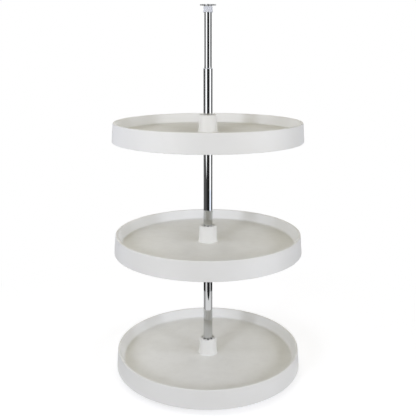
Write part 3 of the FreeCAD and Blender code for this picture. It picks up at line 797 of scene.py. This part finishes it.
class PANTRY_OT_bearings(Operator):
    """Turn the flanged bush under each hub and the washer that it runs on"""
    bl_idname = "pantry.bearings"
    bl_label = "Bearings"

    def execute(self, context):
        pole, hub, sizes = chosen("pole", "hub", "bearing")
        bore = pole.wide_radius + sizes.running_gap
        sleeve, flange = hub.bush_radius, sizes.flange_radius
        for level in LEVELS:
            foot, top = span("hub_bush_" + level)
            seat = foot + sizes.flange
            bush = turned_piece(level + "_bearing_bush", [
                (bore, foot, BUSH_BORE), (flange, foot, BUSH_FLANGE), (flange, seat, BUSH_STEP),
                (sleeve, seat, BUSH_ROOT), (sleeve, top, BUSH_END), (bore, top, BUSH_BORE)])
            place_piece(bush, "acetal", level + "_tray", "hub_bush_" + level)
            carrier = "stand" if level == "bottom" else level + "_carrier"
            turned(level + "_washer", "thrust_washer_" + level,
                   (sizes.washer_bore, sizes.washer_radius), "white_nylon", carrier, WASHER_EDGE)
        return {"FINISHED"}


class PANTRY_OT_collars(Operator):
    """Turn the clamping collars under the middle and top trays and drill them for their screws"""
    bl_idname = "pantry.collars"
    bl_label = "Collars"

    def execute(self, context):
        pole, sizes = chosen("pole", "bearing")
        inner, outer = pole.wide_radius + sizes.push_gap, sizes.collar_radius
        for level in LEVELS[1:]:
            node = "support_collar_" + level
            collar = turned(level + "_collar", node, (inner, outer), "zinc_steel",
                            level + "_carrier", COLLAR_EDGE)
            middle = Matrix.Translation((0.0, 0.0, sum(span(node)) / 2))
            drill = bmesh.new()
            extruded(drill, circle(sizes.screw_hole), pole.wide_radius / 2, outer * 1.2,
                     middle @ Matrix.Rotation(math.pi / 2, 4, "X"))
            combine(collar, new_piece("drill_tool", drill), "DIFFERENCE")
            finish_nodes("zinc_steel", "collar_screw_" + level)
        return {"FINISHED"}


# Pole

class PANTRY_OT_pole(Operator):
    """Draw the two chrome tubes and turn the guide ring in the wider one's mouth"""
    bl_idname = "pantry.pole"
    bl_label = "Pole"

    def execute(self, context):
        pole, gaps = chosen("pole", "bearing")
        wide_bore, thin_bore = pole.wide_radius - pole.wide_wall, pole.thin_radius - pole.thin_wall
        turned("wider_tube", "lower_tube", (wide_bore, pole.wide_radius), "chrome", "stand",
               TUBE_END)
        turned("thinner_tube", "upper_tube", (thin_bore, pole.thin_radius), "chrome",
               "upper_pole", TUBE_END)
        foot, top = span("tube_bush")
        bore, sleeve = pole.thin_radius + gaps.running_gap, wide_bore - gaps.push_gap
        rim, shoulder = pole.ring_radius, top - pole.ring_rim
        ring = turned_piece("guide_ring", [
            (bore, foot, 0.0), (sleeve, foot, 0.0), (sleeve, shoulder, 0.0),
            (rim, shoulder, RING_EDGE), (rim, top, RING_TOP), (bore, top, RING_EDGE)])
        place_piece(ring, "white_nylon", "stand", "tube_bush")
        return {"FINISHED"}


class PANTRY_OT_twist_lock(Operator):
    """Finish the lock inside the pole: plug, stud, wedge nut and split sleeve"""
    bl_idname = "pantry.twist_lock"
    bl_label = "Twist Lock"

    def execute(self, context):
        finish_nodes("black_nylon", "lock_plug")
        finish_nodes("acetal", "lock_cone", "lock_sleeve")
        finish_nodes("zinc_steel", "lock_stud")
        return {"FINISHED"}


# Brackets

class PANTRY_OT_floor_bracket(Operator):
    """Make the floor plate with its countersunk holes and the foot that the pole stands in"""
    bl_idname = "pantry.floor_bracket"
    bl_label = "Floor Bracket"

    def execute(self, context):
        pole, gaps, sizes = chosen("pole", "bearing", "bracket")
        hole, ring, outer = sizes.centre_hole, sizes.screw_circle, sizes.plate_radius
        foot, top = span("floor_plate")
        plate = turned_piece("floor_bracket_plate", [
            (hole, foot, 0.0), (outer, foot, PLATE_EDGE), (outer, top, sizes.plate_edge),
            (hole, top, 0.0)])
        around = [(ring, 0.0), (0.0, ring), (-ring, 0.0), (0.0, -ring)]
        countersink(plate, around, sizes.screw_hole, sizes.countersink, top, depth=0.004)
        countersink(plate, [(0.0, 0.0)], hole, sizes.countersink, foot, depth=-0.0015)
        place_piece(plate, "zinc_steel", "stand", "floor_plate")

        low, high = span("floor_spigot")
        shoulder = span("thrust_washer_bottom")[0]
        socket, core, taper = pole.wide_radius + gaps.push_gap, sizes.core_radius, sizes.core_taper
        spigot = turned_piece("floor_bracket_foot", [
            (hole, low, 0.0), (sizes.foot_radius, low, FOOT_EDGE),
            (sizes.shoulder_radius, shoulder, SHOULDER_EDGE), (socket, shoulder, SOCKET_EDGE),
            (socket, sizes.tube_foot, 0.0), (core, sizes.tube_foot, 0.0),
            (core, high - taper, FOOT_EDGE), (core - taper, high, FOOT_EDGE), (hole, high, 0.0)])
        place_piece(spigot, "black_nylon", "stand", "floor_spigot")
        finish_nodes("zinc_steel", "spigot_screw")
        return {"FINISHED"}


def ceiling_outline(sizes, ear_steps=24, disc_steps=32):
    """Outline of the ceiling plate: a disc with a round-ended ear to each side."""
    radius = sizes.disc_radius
    start = math.asin(sizes.ear_radius / radius)
    outline = []
    for side in (0, math.pi):
        for step in range(ear_steps + 1):
            turn = side - math.pi / 2 + math.pi * step / ear_steps
            outline.append((sizes.ear_reach * math.cos(side) + sizes.ear_radius * math.cos(turn),
                            sizes.ear_radius * math.sin(turn)))
        for step in range(disc_steps + 1):
            turn = side + start + (math.pi - 2 * start) * step / disc_steps
            outline.append((radius * math.cos(turn), radius * math.sin(turn)))
    return outline


class PANTRY_OT_ceiling_bracket(Operator):
    """Make the cup over the pole's upper end and the plate with two screw ears on it"""
    bl_idname = "pantry.ceiling_bracket"
    bl_label = "Ceiling Bracket"

    def execute(self, context):
        sizes, = chosen("bracket")
        hole, bore, reach = sizes.centre_hole, sizes.cup_bore, sizes.ear_reach
        mouth, roof = span("top_cup")
        ceiling, waist = roof - sizes.cup_roof, mouth + sizes.cup_flare
        cup = turned_piece("ceiling_cup", [
            (hole, roof, 0.0), (sizes.cup_top, roof, CUP_EDGE),
            (sizes.cup_waist, waist, CUP_WAIST), (sizes.cup_mouth, mouth, CUP_EDGE),
            (bore + sizes.cup_lead_in, mouth, CUP_LIP), (bore, mouth + sizes.cup_lead_in, CUP_BORE),
            (bore, ceiling, CUP_BORE), (hole, ceiling, 0.0)], steps=5)
        place_piece(cup, "white_nylon", "top_bracket", "top_cup")

        neck_foot, top = span("top_plate")
        plate_foot = top - sizes.ceiling_plate
        mesh = bmesh.new()
        extruded(mesh, ceiling_outline(sizes), plate_foot, top)
        rims = [edge for edge in mesh.edges
                if abs(edge.verts[0].co.z - edge.verts[1].co.z) < 1e-6]
        bmesh.ops.bevel(mesh, geom=rims, offset=PLATE_EDGE, segments=3, affect="EDGES",
                        profile=0.5)
        plate = new_piece("ceiling_plate", mesh)
        middle, neck = (plate_foot + top) / 2, sizes.neck_radius
        tool = turned_piece("neck_tool", [
            (hole, neck_foot, 0.0), (neck, neck_foot, PLATE_EDGE), (neck, middle, 0.0),
            (hole, middle, 0.0)])
        combine(plate, tool, "UNION")
        countersink(plate, [(-reach, 0.0), (reach, 0.0)], sizes.ear_hole, sizes.ear_countersink,
                    plate_foot, depth=-0.003)
        countersink(plate, [(0.0, 0.0)], hole, sizes.rivet_countersink, top, depth=0.006)
        place_piece(plate, "zinc_steel", "top_bracket", "top_plate")
        finish_nodes("zinc_steel", "top_rivet")
        return {"FINISHED"}


# Studio

def add_lamp(name, power, side, rise, distance, height, width, warm):
    """A soft square lamp that looks at the pole: its side is counted from the front, rightwards."""
    studio, = chosen("studio")
    data = bpy.data.lights.new(name, "AREA")
    data.shape = "SQUARE"
    data.size = width
    data.energy = getattr(studio, power)
    data.color = studio.ambient_tone if warm else studio.lamp_tone
    lamp = bpy.data.objects.new(name, data)
    lamp.rotation_euler = Euler((math.radians(90 - rise), 0.0, math.radians(side)))
    lamp.location = lamp.rotation_euler.to_matrix() @ Vector((0.0, 0.0, distance))
    lamp.location.z += height
    lamp.visible_camera = lamp.visible_glossy = False
    bpy.context.scene.collection.objects.link(lamp)


def empty_tree(holder):
    """The node tree of a world or a material, cleared."""
    holder.use_nodes = True
    holder.node_tree.nodes.clear()
    return holder.node_tree


def emission(tree, color, strength=1.0):
    return add(tree, "Emission", {"Color": color, "Strength": strength}).outputs[0]


def grey_paint(tree, level):
    return add(tree, "BsdfDiffuse", {"Color": (level, level, level, 1.0)}).outputs[0]


def either(tree, factor, first, second):
    return add(tree, "MixShader", {0: factor, 1: first, 2: second}).outputs[0]


def seen_rays(tree):
    """1 for rays that show the background: straight, mirrored or through glass."""
    path = add(tree, "LightPath").outputs
    mirrored = math_node(tree, "MAXIMUM", path["Is Glossy Ray"], path["Is Transmission Ray"])
    return math_node(tree, "MAXIMUM", path["Is Camera Ray"], mirrored)


def add_card(name, card_tone, rows, steps=24):
    """A card that only polished pieces mirror, through rows of (radius, height, start, end)."""
    mesh = bmesh.new()
    lines = []
    for out, up, start, end in rows:
        turns = [math.radians(start + (end - start) * step / steps) for step in range(steps + 1)]
        lines.append([mesh.verts.new((out * math.sin(turn), -out * math.cos(turn), up))
                      for turn in turns])
    for low, high in zip(lines, lines[1:]):
        for step in range(steps):
            mesh.faces.new((low[step], low[step + 1], high[step + 1], high[step]))
    bmesh.ops.remove_doubles(mesh, verts=mesh.verts, dist=1e-6)
    card = new_piece(name, mesh)
    material = bpy.data.materials.new(name)
    tree = empty_tree(material)
    add(tree, "OutputMaterial", {"Surface": emission(tree, (*card_tone, 1.0))})
    card.data.materials.append(material)
    card.visible_camera = card.visible_diffuse = card.visible_shadow = False
    card.visible_transmission = card.visible_volume_scatter = False


def white_room(studio):
    """The world: white where it is seen or mirrored, and a softer light on the fitting."""
    world = bpy.data.worlds.new("white_room")
    tree = empty_tree(world)
    soft = {"Color": (*studio.ambient_tone, 1.0), "Strength": studio.ambient}
    lit = add(tree, "Background", soft).outputs[0]
    shown = add(tree, "Background", {"Color": WHITE, "Strength": 1.0}).outputs[0]
    both = either(tree, seen_rays(tree), lit, shown)
    add(tree, "OutputWorld", {"Surface": both})
    return world


def add_floor():
    """The floor: grey to the lamps, and shown with soft shadows that fade out into white."""
    mesh = bmesh.new()
    bmesh.ops.create_grid(mesh, x_segments=4, y_segments=4, size=FLOOR_SIZE)
    floor = new_piece("studio_floor", mesh)
    floor.location.z = FLOOR_LEVEL
    material = bpy.data.materials.new("studio_floor")
    tree = empty_tree(material)
    near = add(tree, "AddShader", {0: grey_paint(tree, FLOOR_SHADE),
                                   1: emission(tree, WHITE, FLOOR_GLOW)}).outputs[0]
    place = add(tree, "TexCoord").outputs["Object"]
    away = add(tree, "VectorMath", {0: place}, operation="LENGTH").outputs["Value"]
    faded = ramp(tree, away, FLOOR_NEAR, FLOOR_FAR)
    shown = either(tree, faded, near, emission(tree, WHITE))
    both = either(tree, seen_rays(tree), grey_paint(tree, FLOOR_LIT), shown)
    add(tree, "OutputMaterial", {"Surface": both})
    floor.data.materials.append(material)


class PANTRY_OT_studio(Operator):
    """Set the white room, its lamps and mirror cards, and the camera"""
    bl_idname = "pantry.studio"
    bl_label = "Studio"

    def execute(self, context):
        scene = context.scene
        studio, = chosen("studio")
        scene.world = white_room(studio)
        add_floor()
        for lamp in LAMPS:
            add_lamp(*lamp)
        for name, card_tone, rows in CARDS:
            add_card(name, CARD_TONES[card_tone], rows)
        data = bpy.data.cameras.new("photo_camera")
        data.lens, data.sensor_width, data.shift_y = studio.lens, 36.0, studio.shift
        camera = bpy.data.objects.new("photo_camera", data)
        camera.location = studio.place
        camera.rotation_euler = Euler((math.pi / 2 - studio.pitch, 0.0, 0.0))
        scene.collection.objects.link(camera)
        scene.camera = camera
        scene.view_settings.view_transform = "Standard"
        return {"FINISHED"}


# Sidebar

OPERATORS = (
    PANTRY_OT_trays,
    PANTRY_OT_bearings,
    PANTRY_OT_collars,
    PANTRY_OT_pole,
    PANTRY_OT_twist_lock,
    PANTRY_OT_floor_bracket,
    PANTRY_OT_ceiling_bracket,
    PANTRY_OT_studio,
)
SETTINGS = {
    "pantry_tray": TraySizes,
    "pantry_hub": HubSizes,
    "pantry_underside": UndersideSizes,
    "pantry_bearing": BearingSizes,
    "pantry_bracket": BracketSizes,
    "pantry_pole": PoleSizes,
    "pantry_finishes": Finishes,
    "pantry_studio": Studio,
}


class PANTRY_PT_sidebar(Panel):
    bl_label = "Pantry Fitting"
    bl_idname = "PANTRY_PT_sidebar"
    bl_space_type = "VIEW_3D"
    bl_region_type = "UI"
    bl_category = "Pantry"

    def draw(self, context):
        for operator in OPERATORS:
            self.layout.operator(operator.bl_idname)
        for name, settings in SETTINGS.items():
            box = self.layout.box()
            box.label(text=name.replace("pantry_", "").replace("_", " ").title())
            for prop in settings.__annotations__:
                box.prop(getattr(context.scene, name), prop)


def register():
    for cls in (*SETTINGS.values(), *OPERATORS, PANTRY_PT_sidebar):
        bpy.utils.register_class(cls)
    for name, settings in SETTINGS.items():
        setattr(bpy.types.Scene, name, PointerProperty(type=settings))


def unregister():
    for name in SETTINGS:
        delattr(bpy.types.Scene, name)
    for cls in (PANTRY_PT_sidebar, *OPERATORS[::-1], *list(SETTINGS.values())[::-1]):
        bpy.utils.unregister_class(cls)


def main():
    register()
    for operator in OPERATORS:
        group, name = operator.bl_idname.split(".")
        if getattr(getattr(bpy.ops, group), name)() != {"FINISHED"}:
            raise RuntimeError(operator.bl_label + " did not finish")


if __name__ == "__main__":
    main()
